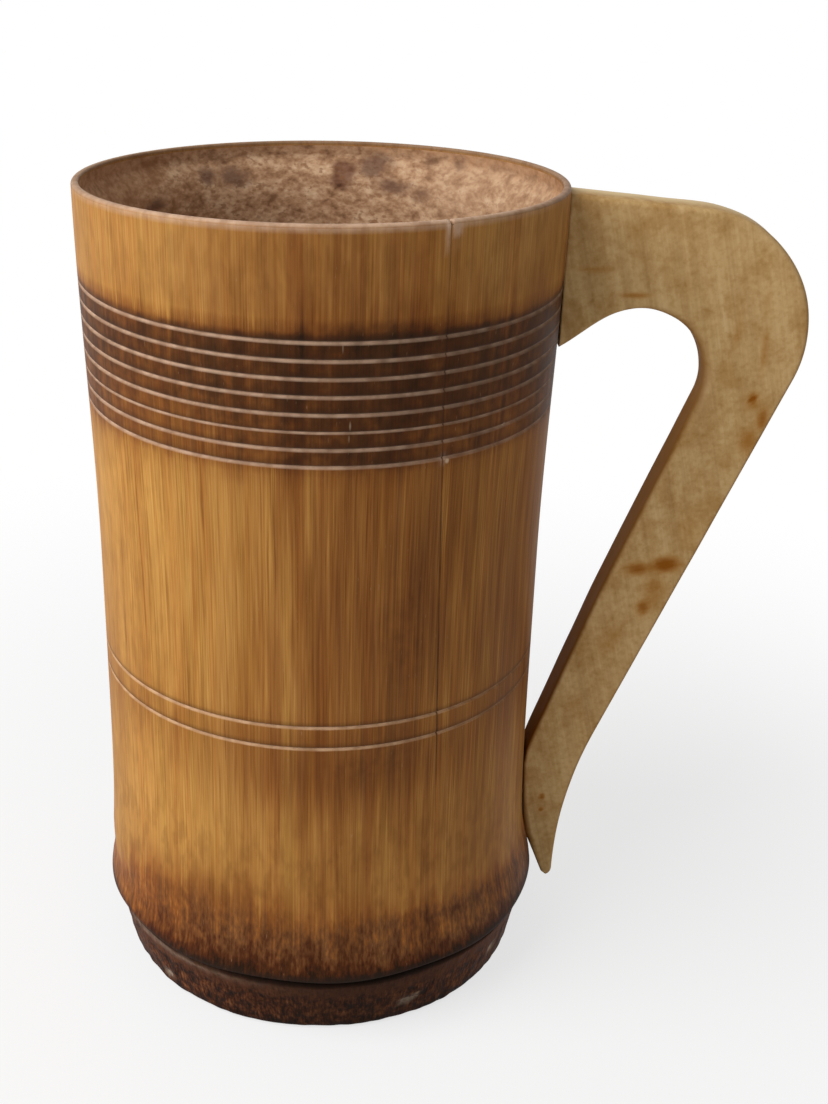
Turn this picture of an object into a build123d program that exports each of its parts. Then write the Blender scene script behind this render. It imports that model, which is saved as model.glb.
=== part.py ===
from build123d import *
import math
import os

# Bamboo cup: a turned length of culm with a sawn wooden handle. Millimetres, +Z up.
# The origin is on the culm's axis, in the plane that the foot stands on. The handle lies along +X.

# Culm, outside
rim_height = 152.0            # foot to the middle of the sawn rim
rim_radius = 42.0             # outside of the culm at the rim
waist_radius = 40.5           # outside of the culm at its narrowest
waist_height = 85.0
node_radius = 42.8            # swollen ring of the node, above the scar
node_height = 14.3
node_swell_length = 9.2       # height over which the swelling dies away
rim_lean_front = 2.3          # degrees: the rim was sawn out of square, higher at -Y
rim_lean_right = 0.6          # degrees: and higher at +X

# Foot: the stub of the next internode, below the leaf scar of the node
scar_depth = 2.4
scar_width = 2.0
foot_step = 1.4               # top of the foot ring inside the node's radius
foot_taper = 2.6              # the foot ring narrows by this much to the bottom
foot_round = 1.6
foot_wall = 7.0
recess_depth = 8.0            # hollow under the floor
recess_round = 4.0

# Culm, inside
lip_thickness = 1.3
lip_round_outside = 0.6
lip_round_inside = 0.4
lip_height = 2.8              # the lip is this thin down to here
scraped_depth = 8.5           # and is scraped back from the full wall from here up
wall_thickness = 5.2          # below the scraped lip
wall_thickness_low = 6.4      # just above the floor
floor_thickness = 6.0
floor_round = 8.0

# Turned lines round the culm: a band of cuts below the rim and two fine ones lower down
band_drop = 16.3              # rim to the first line
band_height = 20.5            # first line to the last
band_lines = 8
band_line_width = 0.7
band_line_depth = 0.35
low_line_height = 67.2
low_line_gap = 4.2
low_line_width = 0.45
low_line_depth = 0.22

# Handle: a flat board in the XZ plane
board_thickness = 7.0
board_edge_round = 0.7
handle_top_drop = 1.4         # top edge below the rim, at the culm
handle_top_slope = 5.2        # degrees that the top edge falls away from the culm
shoulder_radius = 22.5        # outside of the hook
shoulder_reach = 44.7         # from the rim's radius out to the nose of the hook
tail_radius = 88.0            # sweep that turns the arm's outer edge upright at the tail
tail_gap = 3.1                # between the tail and the node's ring
tip_height = 9.2
tip_round = 1.2
heel_rise = 5.0               # from the node up to where the tail meets the culm
lower_joint_height = 18.7     # from there up to where the arm leaves the culm
arch_radius = 12.6            # top of the finger gap
arch_reach = 14.1             # from the rim's radius out to the arch's centre
arch_drop = 34.1              # from the rim down to the arch's centre
brow_angle = 30.0             # degrees: slope of the edge from the arch back to the culm

# Joints between the handle and the culm
glue_thickness = 0.3
cope_allowance = 1.5          # how far the board runs into the culm before its ends are coped
dowel_diameter = 4.0
dowel_clearance = 0.05        # radial, and at the bottom of each hole
dowel_skin = 1.2              # wall left behind a dowel's hole
dowel_cover = 4.8             # from an upper dowel's axis to the board's edge
upper_dowel_length = 12.0     # in the board
lower_dowel_length = 5.0      # in the board
lower_dowel_rise = 9.7        # from the heel up to the lower dowel

# Places that more than one piece shares
foot_top_radius = node_radius - foot_step
foot_radius = foot_top_radius - foot_taper
heel_height = node_height + heel_rise
top_at_culm = rim_height - handle_top_drop
top_fall = math.tan(math.radians(handle_top_slope))
arch_x = rim_radius + arch_reach
arch_height = rim_height - arch_drop
neck_top = top_at_culm - arch_reach * top_fall
neck_bottom = arch_height + arch_radius
rim_swing = rim_radius * math.tan(math.radians(rim_lean_front + rim_lean_right))


def culm_radius(height):
    """Outside radius: narrowest at the waist, easing out to the rim and swelling at the node."""
    rise = min(max((height - waist_height) / (rim_height - waist_height), 0.0), 1.0)
    ease = rise * rise * (3.0 - 2.0 * rise)
    swelling = math.exp(-(height - node_height) / node_swell_length)
    return waist_radius + (rim_radius - waist_radius) * ease + (node_radius - waist_radius) * swelling


def inside_radius(height):
    """Inside radius: a straight taper from the floor to the scraped part, which widens steeply to the thin lip."""
    floor = recess_depth + floor_thickness
    scraped = rim_height - scraped_depth
    narrow = culm_radius(floor + floor_round) - wall_thickness_low
    wide = culm_radius(scraped) - wall_thickness
    lip = rim_radius - lip_thickness
    if height <= scraped:
        return narrow + (wide - narrow) * (height - floor) / (scraped - floor)
    return min(lip, wide + (lip - wide) * (height - scraped) / (scraped_depth - lip_height))


def culm_blank(grow):
    """The culm's outside from the node up past the rim, as a solid that is grown by a film's thickness."""
    stations = 14
    top = rim_height + rim_swing + lip_thickness
    heights = [node_height + (rim_height - node_height) * (i / stations) ** 1.5 for i in range(stations + 1)]
    side = [(culm_radius(height) + grow, height) for height in heights]
    with BuildPart() as blank:
        with BuildSketch(Plane.XZ):
            with BuildLine():
                Spline(*side)
                Polyline(side[-1], (rim_radius + grow, top), (0, top), (0, node_height), side[0])
            make_face()
        revolve(axis=Axis.Z)
    return blank.part


def foot_blank():
    """The scar under the node, and the foot ring that tapers down to the floor it stands on."""
    scar_middle = node_height - scar_width / 2
    scar_foot = node_height - scar_width
    with BuildPart() as foot:
        with BuildSketch(Plane.XZ):
            with BuildLine():
                Polyline(
                    (0, node_height),
                    (node_radius, node_height),
                    (node_radius - scar_depth, scar_middle),
                    (foot_top_radius, scar_foot),
                    (foot_radius, 0),
                    (0, 0),
                    close=True,
                )
            make_face()
        revolve(axis=Axis.Z)
        standing_face = foot.faces().sort_by(Axis.Z)[0]
        fillet(standing_face.edges(), foot_round)
    return foot.part


def hollow():
    """The inside of the cup: scraped thin at the lip, thicker below, with a rounded floor."""
    floor = recess_depth + floor_thickness
    scraped = rim_height - scraped_depth
    lip = rim_height - lip_height
    top = rim_height + rim_swing + lip_thickness
    with BuildPart() as inside:
        with BuildSketch(Plane.XZ):
            with BuildLine():
                wall = [(inside_radius(height), height) for height in (floor, scraped, lip, top)]
                Polyline((0, floor), *wall, (0, top), close=True)
            make_face()
        revolve(axis=Axis.Z)
        floor_edge = inside.faces().sort_by(Axis.Z)[0].edges()
        fillet(floor_edge, floor_round)
    return inside.part


def recess():
    """The hollow under the floor, left where the next internode was sawn through."""
    with BuildPart() as under:
        with Locations((0, 0, recess_depth / 2)):
            Cylinder(foot_radius - foot_wall, recess_depth)
        fillet(under.faces().sort_by(Axis.Z)[-1].edges(), recess_round)
    return under.part


def turned_line(height, width, depth):
    """Cutter for one V-shaped line round the culm."""
    surface = culm_radius(height)
    with BuildPart() as line:
        with BuildSketch(Plane.XZ):
            with BuildLine():
                Polyline(
                    (surface - depth, height),
                    (surface + depth, height + width),
                    (surface + depth, height - width),
                    close=True,
                )
            make_face()
        revolve(axis=Axis.Z)
    return line.part


def dowel(height, in_board, grow):
    """A pin along +X at the joint, grown by a clearance where it is a cutter for its hole."""
    start = inside_radius(height + dowel_diameter / 2) + dowel_skin - grow
    end = culm_radius(height) + glue_thickness + in_board + grow
    with BuildPart() as pin:
        with BuildSketch(Plane.YZ.offset(start)):
            with Locations((0, height)):
                Circle(dowel_diameter / 2 + grow)
        extrude(amount=end - start)
    return pin.part


def board_outline():
    """The handle's face before its ends are coped: top, hook, arm and tail outside, then the grip and arch."""
    inside = min(rim_radius, waist_radius) - cope_allowance
    brow = math.radians(brow_angle)
    # The hook's arc touches the sloping top edge, and its nose stands out from the culm by the reach
    shoulder_x = rim_radius + shoulder_reach - shoulder_radius
    slope = math.atan(top_fall)
    crown = Vector(shoulder_x + shoulder_radius * math.sin(slope), 0)
    crown.Y = top_at_culm - (crown.X - rim_radius) * top_fall
    shoulder = Vector(shoulder_x, crown.Y - shoulder_radius * math.cos(slope))
    top_start = (inside, top_at_culm + (rim_radius - inside) * top_fall)
    # The arm's outer edge is the line that touches the hook on one side and the tail's sweep on the other
    tail_x = node_radius + tail_gap + 2 * tip_round
    tail = Vector(tail_x + tail_radius, tip_height + tip_round)
    span = tail - shoulder
    lean = math.asin((shoulder_radius + tail_radius) / span.length) + math.atan2(-span.Y, span.X) - math.pi / 2
    across = Vector(math.cos(lean), -math.sin(lean))
    arm_top = shoulder + across * shoulder_radius
    arm_foot = tail - across * tail_radius
    nose = shoulder + Vector(math.cos(brow), math.sin(brow)) * shoulder_radius
    tail_middle = tail - Vector(math.cos(lean / 2), -math.sin(lean / 2)) * tail_radius
    # The tip is round, and its inner edge runs straight to the heel on the culm
    tip = Vector(tail_x - tip_round, tail.Y)
    heel = Vector(culm_radius(heel_height), heel_height)
    rise = heel - tip
    leave = math.atan2(rise.Y, rise.X) + math.acos(tip_round / rise.length)
    tip_bottom = tip - Vector(0, tip_round)
    tip_end = tip + Vector(math.cos(leave), math.sin(leave)) * tip_round
    # The grip is the line from the lower joint that touches the arch
    arch = Vector(arch_x, arch_height)
    seat_top = heel_height + lower_joint_height
    grip_foot = Vector(culm_radius(seat_top), seat_top)
    climb = arch - grip_foot
    grip = math.atan2(climb.X, climb.Y) + math.asin(arch_radius / climb.length)
    grip_top = arch + Vector(math.cos(grip), -math.sin(grip)) * arch_radius
    cope = Vector(cope_allowance, 0)
    # The brow runs from the arch back to the culm
    brow_start = arch + Vector(-math.sin(brow), math.cos(brow)) * arch_radius
    brow_end = (inside, brow_start.Y - (brow_start.X - inside) * math.tan(brow))
    with BuildSketch(Plane.XZ) as face:
        with BuildLine():
            Line(top_start, crown)
            ThreePointArc(crown, nose, arm_top)
            Line(arm_top, arm_foot)
            ThreePointArc(arm_foot, tail_middle, (tail_x, tail.Y))
            ThreePointArc((tail_x, tail.Y), tip_bottom, tip_end)
            Polyline(tip_end, heel, heel - cope, grip_foot - cope, grip_foot, grip_top)
            ThreePointArc(grip_top, arch + Vector(0, arch_radius), brow_start)
            Polyline(brow_start, brow_end, top_start)
        make_face()
    return face.sketch


def board(outline):
    """The outline cut from a plank, with its long edges eased."""
    with BuildPart() as blank:
        extrude(outline, amount=board_thickness / 2, both=True)
        sides = blank.faces().sort_by(Axis.Y)
        fillet(sides[0].edges() + sides[-1].edges(), board_edge_round)
    return blank.part


# Culm: blank and foot, hollowed, sawn off at the rim, rounded at the lip and cut with its lines
rim_plane = Plane.XY.offset(rim_height)
rim_plane = rim_plane.rotated((-rim_lean_front, -rim_lean_right, 0))
smooth_culm = culm_blank(0)
culm_body = smooth_culm + foot_blank() - hollow() - recess()
culm_body = split(culm_body, bisect_by=rim_plane, keep=Keep.BOTTOM)
rim_face = culm_body.faces().filter_by(GeomType.PLANE).sort_by(Axis.Z)[-1]
culm_body = fillet(rim_face.outer_wire().edges(), lip_round_outside)
rim_face = culm_body.faces().filter_by(GeomType.PLANE).sort_by(Axis.Z)[-1]
culm_body = fillet(rim_face.inner_wires()[0].edges(), lip_round_inside)

for i in range(band_lines):
    line_height = rim_height - band_drop - band_height * i / (band_lines - 1)
    culm_body -= turned_line(line_height, band_line_width, band_line_depth)
for line_height in (low_line_height, low_line_height - low_line_gap):
    culm_body -= turned_line(line_height, low_line_width, low_line_depth)

# Dowels, and their holes in the culm, the board and the glue
dowel_places = {
    "upper_dowel_high": (neck_top - dowel_cover, upper_dowel_length),
    "upper_dowel_low": (neck_bottom + dowel_cover, upper_dowel_length),
    "lower_dowel": (heel_height + lower_dowel_rise, lower_dowel_length),
}
dowels = {name: dowel(height, depth, 0) for name, (height, depth) in dowel_places.items()}
holes = [dowel(height, depth, dowel_clearance) for height, depth in dowel_places.values()]
for hole in holes:
    culm_body -= hole

# Handle, coped to the culm with a film of glue between, which stops short of the board's eased edges
outline = board_outline()
seat = culm_blank(glue_thickness)
handle = board(outline) - seat
glue = (extrude(outline, amount=board_thickness / 2 - board_edge_round, both=True) & seat) - smooth_culm
for hole in holes:
    handle -= hole
    glue -= hole
glue_beds = glue.solids().sort_by(SortBy.VOLUME)[-2:].sort_by(Axis.Z)

nodes = {"culm_body": culm_body, "handle": handle, **dowels}
nodes["lower_glue_bed"] = glue_beds[0]
nodes["upper_glue_bed"] = glue_beds[-1]

os.makedirs("parts", exist_ok=True)
for name, solid in nodes.items():
    print(name, len(solid.solids()), "solid", round(solid.volume, 1), "mm3")
    export_step(solid, f"parts/{name}.step")
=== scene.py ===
import math

import bpy
import numpy as np
from mathutils import Matrix, Vector


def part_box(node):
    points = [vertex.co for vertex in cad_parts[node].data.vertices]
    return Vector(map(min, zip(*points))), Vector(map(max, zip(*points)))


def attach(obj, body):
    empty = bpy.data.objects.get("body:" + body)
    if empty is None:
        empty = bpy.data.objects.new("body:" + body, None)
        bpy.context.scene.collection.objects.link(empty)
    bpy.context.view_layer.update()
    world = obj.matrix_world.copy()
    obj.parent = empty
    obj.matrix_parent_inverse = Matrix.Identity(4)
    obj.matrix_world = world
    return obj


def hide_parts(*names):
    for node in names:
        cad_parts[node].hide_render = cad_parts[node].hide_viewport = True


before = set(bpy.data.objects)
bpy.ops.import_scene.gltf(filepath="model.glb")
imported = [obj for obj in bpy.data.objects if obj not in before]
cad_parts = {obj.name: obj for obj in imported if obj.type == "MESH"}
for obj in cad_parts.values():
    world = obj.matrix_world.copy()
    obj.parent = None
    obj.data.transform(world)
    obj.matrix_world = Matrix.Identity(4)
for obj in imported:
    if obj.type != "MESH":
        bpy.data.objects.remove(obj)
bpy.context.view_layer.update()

# Culm: one length of bamboo whose wall, floor and foot ring grew as one piece. It was turned smooth and cut
# with lines on a lathe, scorched with a flame, and scraped thin inside the lip. A drying crack runs down
# from the rim.
rim_height = 0.152
rim_radius = 0.042
rim_lean_front = math.tan(math.radians(2.3))
rim_lean_right = math.tan(math.radians(0.6))
waist_radius = 0.0405
waist_height = 0.085
node_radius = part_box("culm_body")[1].x
node_height = 0.0143
node_swell_length = 0.0092
node_crest_height = 0.0156
scar_height = 0.0133
scar_radius = 0.0404
scar_edge = 0.0004
foot_top_height = 0.0123
foot_top_radius = 0.0414
foot_radius = 0.0388
foot_round = 0.0016
foot_shift = 0.0007
recess_radius = 0.0318
recess_depth = 0.008
recess_round = 0.004
lip_thickness = 0.0013
lip_round_outside = 0.0006
lip_round_inside = 0.0004
lip_foot_height = 0.1492
scraped_height = 0.1435
scraped_radius = 0.0367
lean_height = 0.138
floor_height = 0.014
floor_wall_radius = 0.0351
floor_round = 0.008
band_top = 0.1357
band_height = 0.0205
band_count = 8
low_lines = (0.0672, 0.0630)
crack_azimuth = -62.7
crack_foot = 0.046


def ramp(value, start, end):
    """A straight climb from 0 at the start to 1 at the end, and level beyond both."""
    return np.clip((value - start) / (end - start), 0.0, 1.0)


def smooth(share):
    """A share from 0 to 1 that leaves and arrives gently: three times its square less twice its cube."""
    return share * share * (3.0 - 2.0 * share)


def bell(distance, reach):
    """1 at no distance, then falling away: the exponential of minus the square of distance over reach."""
    return np.exp(-((distance / reach) ** 2))


def culm_radius(height):
    """Outside radius: the waist's, plus a smooth step out to the rim, plus the node's swelling.

    The swelling dies away above the node, by the exponential of minus the height over its length.
    """
    flare = smooth(ramp(height, waist_height, rim_height))
    swelling = np.exp(-(height - node_height) / node_swell_length)
    return waist_radius + (rim_radius - waist_radius) * flare + (node_radius - waist_radius) * swelling


def run(start, end, steps):
    """Evenly spaced points from start towards end, which is left to the next stretch."""
    share = np.linspace(0.0, 1.0, steps, endpoint=False)[:, None]
    return np.array(start) + (np.array(end) - np.array(start)) * share


def bend(centre, radius, start, end, steps):
    """Points of an arc about a centre, from one angle to another in degrees."""
    turn = np.radians(np.linspace(start, end, steps))
    return np.array(centre) + radius * np.stack([np.cos(turn), np.sin(turn)], axis=1)


def along(*stretches):
    """Stretches of points or of values joined end to end."""
    return np.concatenate(stretches)


def ripple(turn, height, seed, turns, pitch, waves=18):
    """Unevenness from about -1 to 1: seeded sine waves added up, over the square root of their number.

    Each wave goes a whole number of times round, and climbs at a random rate for its pitch.
    """
    draw = np.random.default_rng(seed)
    count = draw.integers(turns[0], turns[1] + 1, waves)
    climb = draw.normal(0.0, 1.0, waves) * math.tau / pitch
    phase = draw.uniform(0.0, math.tau, waves)
    total = np.sin(turn[..., None] * count + height[..., None] * climb + phase).sum(axis=-1)
    return total / math.sqrt(waves)


def closed_surface(name, rows, first_pole, last_pole, materials):
    """A mesh of rings of points: quads join each ring to the next, fans join the end rings to two poles."""
    count, around = rows.shape[:2]
    points = np.concatenate([rows.reshape(-1, 3), [first_pole, last_pole]])
    ring = np.arange(around)
    after = np.roll(ring, -1)
    start = np.arange(count - 1)[:, None] * around
    quads = np.stack([start + ring, start + after, start + around + after, start + around + ring], axis=-1)
    last = (count - 1) * around
    fans = np.concatenate([
        np.stack([np.full(around, count * around), after, ring], axis=-1),
        np.stack([np.full(around, count * around + 1), last + ring, last + after], axis=-1),
    ])
    mesh = bpy.data.meshes.new(name)
    mesh.from_pydata(points.tolist(), [], quads.reshape(-1, 4).tolist() + fans.tolist())
    mesh.polygons.foreach_set("use_smooth", np.ones(len(mesh.polygons), dtype=bool))
    for material in materials:
        mesh.materials.append(material)
    piece = bpy.data.objects.new(name, mesh)
    bpy.context.scene.collection.objects.link(piece)
    return piece


def paint(piece, name, values):
    """Keeps one value for each point of a closed surface; the poles take the mean of the ring beside them."""
    ends = [values[0].mean(), values[-1].mean()]
    attribute = piece.data.attributes.new(name, "FLOAT", "POINT")
    attribute.data.foreach_set("value", np.concatenate([values.ravel(), ends]).astype(np.float32))


# Turned lines by height and half width, each as deep as half its width, and rows of points close beside them
band_line_half = 0.00031
faint_line = 5
faint_line_half = 0.00023
low_line_half = 0.00029
line_clearance = 0.0015
line_heights = np.append(band_top - band_height * np.arange(band_count) / (band_count - 1), low_lines)
line_halves = np.append(np.full(band_count, band_line_half), np.full(len(low_lines), low_line_half))
line_halves[faint_line] = faint_line_half
line_offsets = np.array([-1.6, -1.0, -0.2, 0.2, 1.0, 1.6, 4.2])
line_rows = line_heights[:, None] + line_halves[:, None] * line_offsets
row_share = np.linspace(0, 1, 64) ** 1.12
plain_rows = node_crest_height + (rim_height - lip_round_outside - node_crest_height) * row_share
clear = np.abs(plain_rows[:, None] - line_heights).min(axis=1) > line_clearance
rim_rows = np.array([0.1500, 0.1505, 0.1509, 0.1512])
shade_rows = np.array([0.1366, 0.1374, 0.1382, 0.1392])
outside_heights = np.sort(along(plain_rows[clear], line_rows.ravel(), rim_rows, shade_rows))


def by_line(height, values):
    """A value for each height, by how many half widths it lies above its nearest line, and that line."""
    gap = height[:, None] - line_heights
    nearest = np.abs(gap).argmin(axis=1)
    above = gap[np.arange(len(height)), nearest] / line_halves[nearest]
    return np.interp(above, line_offsets, values), nearest


groove, nearest_line = by_line(outside_heights, [0, 0, 1, 1, 0, 0, 0])
outside_radii = culm_radius(outside_heights) - groove * line_halves[nearest_line]
outside = np.stack([outside_radii, outside_heights], axis=1)

# Profile from the middle of the underside out over the foot, up the outside, over the lip and down inside
pole_ring = 0.003
recess_side = (0.003, 0.0004)
recess_edge = 0.0003
taper = (foot_top_radius - foot_radius) / foot_top_height
foot_arc = foot_radius + taper * foot_round - foot_round * math.hypot(1.0, taper)
foot_side_low = foot_radius + taper * foot_round
node_low = (node_radius - 0.0004, node_height - 0.0003)
node_edge = (node_radius - 0.0001, node_height)
node_crest = (culm_radius(node_crest_height), node_crest_height)
lip_outside = rim_radius - lip_round_outside
lip_inside = rim_radius - lip_thickness + lip_round_inside
underside = along(
    run((pole_ring, recess_depth), (recess_radius - recess_round, recess_depth), 6),
    bend((recess_radius - recess_round, recess_depth - recess_round), recess_round, 90, 0, 6),
    run((recess_radius, recess_side[0]), (recess_radius, recess_side[1]), 3),
    run((recess_radius + recess_edge, 0.0), (foot_arc, 0.0), 7),
)
foot_side = along(
    bend((foot_arc, foot_round), foot_round, -90, -20, 6),
    run((foot_side_low, foot_round), (foot_top_radius, foot_top_height), 13),
    run((foot_top_radius, foot_top_height), (scar_radius, scar_height), 4),
    run((scar_radius, scar_height), node_low, 4),
    run(node_edge, node_crest, 3),
)
lip = along(
    bend((lip_outside, rim_height - lip_round_outside), lip_round_outside, 8, 90, 7),
    bend((lip_inside, rim_height - lip_round_inside), lip_round_inside, 80, 180, 5),
)

# Inside: straight below the lip, then scraped thin. The scraped step is rounded by a curve: its start and end
# are weighted by the squares of the shares left and gone, and its corner by twice their product.
lip_drop = 0.0008
floor_step = 0.002
scrape_top = np.array([rim_radius - lip_thickness, lip_foot_height])
scrape_corner = np.array([scraped_radius, scraped_height])
wall_foot = np.array([floor_wall_radius, floor_height + floor_round])
scrape_start = scrape_corner + 0.6 * (scrape_top - scrape_corner)
scrape_end = scrape_corner + 0.05 * (wall_foot - scrape_corner)
over_step = np.linspace(0.0, 1.0, 10, endpoint=False)[:, None]
step = (1 - over_step) ** 2 * scrape_start + 2 * over_step * (1 - over_step) * scrape_corner
step = step + over_step ** 2 * scrape_end
down_wall = np.linspace(0.0, 1.0, 19, endpoint=False)[:, None] ** 1.3
inside = along(
    run((rim_radius - lip_thickness, rim_height - lip_drop), scrape_top, 4),
    run(scrape_top, scrape_start, 3),
    step,
    scrape_end + (wall_foot - scrape_end) * down_wall,
    bend((floor_wall_radius - floor_round, floor_height + floor_round), floor_round, 0, -90, 7),
    run((floor_wall_radius - floor_round - floor_step, floor_height), (pole_ring, floor_height), 7),
)
stretches = (underside, foot_side, outside, lip, inside)
profile = along(*stretches)
part = np.repeat(np.arange(len(stretches)), [len(stretch) for stretch in stretches])[:, None]
on_underside, on_foot, on_skin, on_lip, on_inside = (part == index for index in range(len(stretches)))
skin_side = on_skin | on_lip


def past(azimuth, turn):
    """How far round a point lies past an azimuth in degrees: their difference, the short way round."""
    return (turn - math.radians(azimuth) + math.pi) % math.tau - math.pi


# Grid: columns crowd at the crack and lean with it, and the rows near the rim follow the slanting saw cut
crack_lean_reach = 0.35
crack_notch = 0.0009
crack_columns = np.radians([0.05, 0.16, 0.40, 0.90, 1.8, 3.0])
plain_columns = np.radians(np.linspace(3.9, 356.1, 372))
columns = math.radians(crack_azimuth) + along(-crack_columns[::-1], crack_columns, plain_columns)
radius, turn = np.meshgrid(profile[:, 0], columns, indexing="ij")
height = np.repeat(profile[:, 1:], len(columns), axis=1)
from_crack = past(crack_azimuth, turn)
across_crack = from_crack * radius
crack_leans = np.radians([3.5, 2.8, 1.6, 0.2, 0.0])
crack_lean = np.interp(height, [crack_foot, 0.066, 0.100, 0.125, 0.152], crack_leans)
turn = turn + crack_lean * bell(from_crack, crack_lean_reach)
crack_halves = np.array([0.00016, 0.00018, 0.00014, 0.00021, 0.00021, 0.00016])
crack_half = np.interp(height, [crack_foot, 0.100, 0.144, 0.147, 0.150, 0.152], crack_halves)
crack_depths = np.array([0.0, 0.00014, 0.00018, 0.00010, 0.00004, 0.00004, 0.00018, 0.00030])
crack_depth = np.interp(height, [0.044, 0.052, 0.110, 0.118, 0.136, 0.144, 0.148, 0.152], crack_depths)
crack = np.clip(1.0 - np.abs(across_crack) / crack_half, 0.0, 1.0)
near_rim = ramp(height, lean_height, lip_foot_height) * (skin_side | on_inside)
radius = radius - crack * crack_depth * skin_side
oval = 0.00015 * np.cos(2 * turn + 0.6)
three_sided = 0.0001 * np.cos(3 * turn + 2.0) * ~on_underside
radius = radius + oval + three_sided
lean = radius * (rim_lean_right * np.cos(turn) - rim_lean_front * np.sin(turn))
height = height + lean * near_rim - crack_notch * crack * on_lip

# Foot ring: split off roughly, so its face is uneven and its lower edge is chipped. A chip has its azimuth,
# height, reach and depth.
foot_chips = (
    (-139.0, 0.0030, 0.0010, 0.0005),
    (-66.5, 0.0046, 0.0011, 0.0006),
    (-63.5, 0.0052, 0.0007, 0.0004),
    (-34.0, 0.0060, 0.0011, 0.0005),
)
chip_flatness = 1.3
chip_raggedness = 0.25
foot_roughness = 0.00006
edge_roughness = 0.00012
edge_reach = 0.004
scar_waver = 0.00035
floor_waver = 0.0003
foot_bend_low = 0.018
foot_bend_high = 0.026
chipped = np.zeros_like(height)
chip_dent = np.zeros_like(height)
ragged = 1.0 + chip_raggedness * ripple(turn, height, 5, (40, 160), 0.004)
for azimuth, up, reach, depth in foot_chips:
    away = np.hypot(past(azimuth, turn) * foot_radius, (height - up) * chip_flatness) * ragged
    chip = bell(away, reach) * on_foot
    chipped = np.maximum(chipped, chip)
    chip_dent = np.maximum(chip_dent, chip * depth)
low_edge = np.exp(-height / edge_reach) * on_foot
foot_face = on_foot * (height < scar_height)
radius = radius - chip_dent
radius = radius + foot_face * foot_roughness * ripple(turn, height, 11, (8, 90), 0.006)
radius = radius + low_edge * edge_roughness * ripple(turn, height * 0.0, 12, (3, 18), 0.010)
scar_wander = bell(height - scar_height, 0.0025) * on_foot
height = height + scar_wander * scar_waver * ripple(turn, height * 0.0, 13, (1, 9), 0.01)
near_foot = 1.0 - ramp(height, foot_bend_low, foot_bend_high)
floor_face = on_inside * bell(height - floor_height, 0.003)
height = height + floor_face * floor_waver * ripple(turn, radius, 14, (0, 5), 0.02)
x = radius * np.cos(turn) + foot_shift * smooth(near_foot) * ~(on_lip | on_inside)
culm_grid = np.stack([x, radius * np.sin(turn), height], axis=-1)

# Scorch, from 0 for bare bamboo to 1 for black: a level for each height, drawn up or down with the flame's
# reach round the foot, and patches by azimuth, height, reach round, reach along and level. The broad patches
# at mid height on the front and the right side darken the side away from the lamp: painted shade over the
# toasting.
scorch_heights = np.array([
    0.0143, 0.0155, 0.0170, 0.0195, 0.0230, 0.0270, 0.0330, 0.0420, 0.0520, 0.0625, 0.0640, 0.0680, 0.0700,
    0.0900, 0.1060, 0.1128, 0.1146, 0.1160, 0.1215, 0.1260, 0.1350, 0.1364, 0.1374, 0.1390, 0.1450, 0.1520,
])
scorch_levels = np.array([
    0.98, 0.86, 0.66, 0.52, 0.42, 0.20, 0.08, 0.05, 0.08, 0.16, 0.17, 0.12, 0.09,
    0.06, 0.06, 0.12, 0.30, 0.50, 0.54, 0.63, 0.66, 0.54, 0.28, 0.12, 0.06, 0.06,
])
scorch_and_shade_patches = (
    (-80.0, 0.092, 24.0, 0.040, 0.26),
    (-68.0, 0.084, 10.0, 0.022, 0.15),
    (-82.0, 0.057, 24.0, 0.007, 0.18),
    (-88.0, 0.146, 19.0, 0.013, 0.14),
    (-76.0, 0.1372, 26.0, 0.0022, 0.22),
    (-88.0, 0.0190, 30.0, 0.0060, 0.02),
    (-64.0, 0.0250, 10.0, 0.0016, 0.14),
    (-47.0, 0.0238, 12.0, 0.0016, 0.20),
    (-28.0, 0.0222, 12.0, 0.0018, 0.18),
    (-44.0, 0.0196, 26.0, 0.0024, -0.13),
    (-78.0, 0.040, 30.0, 0.014, 0.08),
    (-50.0, 0.036, 20.0, 0.018, 0.03),
    (-150.0, 0.0200, 24.0, 0.0030, -0.08),
    (-160.0, 0.0158, 26.0, 0.0022, -0.28),
    (-138.0, 0.0225, 20.0, 0.0050, -0.06),
    (-131.0, 0.0268, 7.0, 0.0022, 0.10),
    (-76.0, 0.0250, 9.0, 0.0018, 0.10),
    (-40.0, 0.1290, 16.0, 0.0080, -0.08),
    (-45.0, 0.1175, 22.0, 0.0050, -0.14),
    (-122.0, 0.1190, 16.0, 0.0045, -0.10),
    (-40.0, 0.090, 24.0, 0.050, 0.13),
    (-10.0, 0.090, 30.0, 0.050, 0.17),
    (40.0, 0.082, 22.0, 0.024, 0.20),
    (112.0, 0.094, 18.0, 0.020, 0.22),
    (150.0, 0.050, 24.0, 0.012, 0.16),
)
plain_reach = 0.0255
flame_waver = 0.0006
flame_top = 0.030
flame_end = 0.045
flame_azimuths = np.array([-180, -161, -140, -122, -108, -95, -82, -69, -54, -32, -17, 20, 60, 100, 140, 180])
flame_reaches = np.array([
    0.0208, 0.0210, 0.0280, 0.0298, 0.0290, 0.0263, 0.0249, 0.0252,
    0.0245, 0.0218, 0.0217, 0.0245, 0.0270, 0.0240, 0.0225, 0.0208,
])
azimuth_here = np.degrees(past(0.0, turn))
flame_reach = np.interp(azimuth_here, flame_azimuths, flame_reaches)
flame_reach = flame_reach + flame_waver * ripple(turn, height * 0.0, 21, (4, 24), 0.01)
above_node = (height - node_height) * (1.0 - smooth(ramp(height, flame_top, flame_end)))
drawn_flame = height + above_node * ((plain_reach - node_height) / (flame_reach - node_height) - 1.0)
scorch_and_shade = np.interp(drawn_flame, scorch_heights, scorch_levels)
for azimuth, up, reach_round, reach_along, level in scorch_and_shade_patches:
    beside = np.degrees(past(azimuth, turn))
    scorch_and_shade = scorch_and_shade + level * bell(beside, reach_round) * bell(height - up, reach_along)
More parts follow.
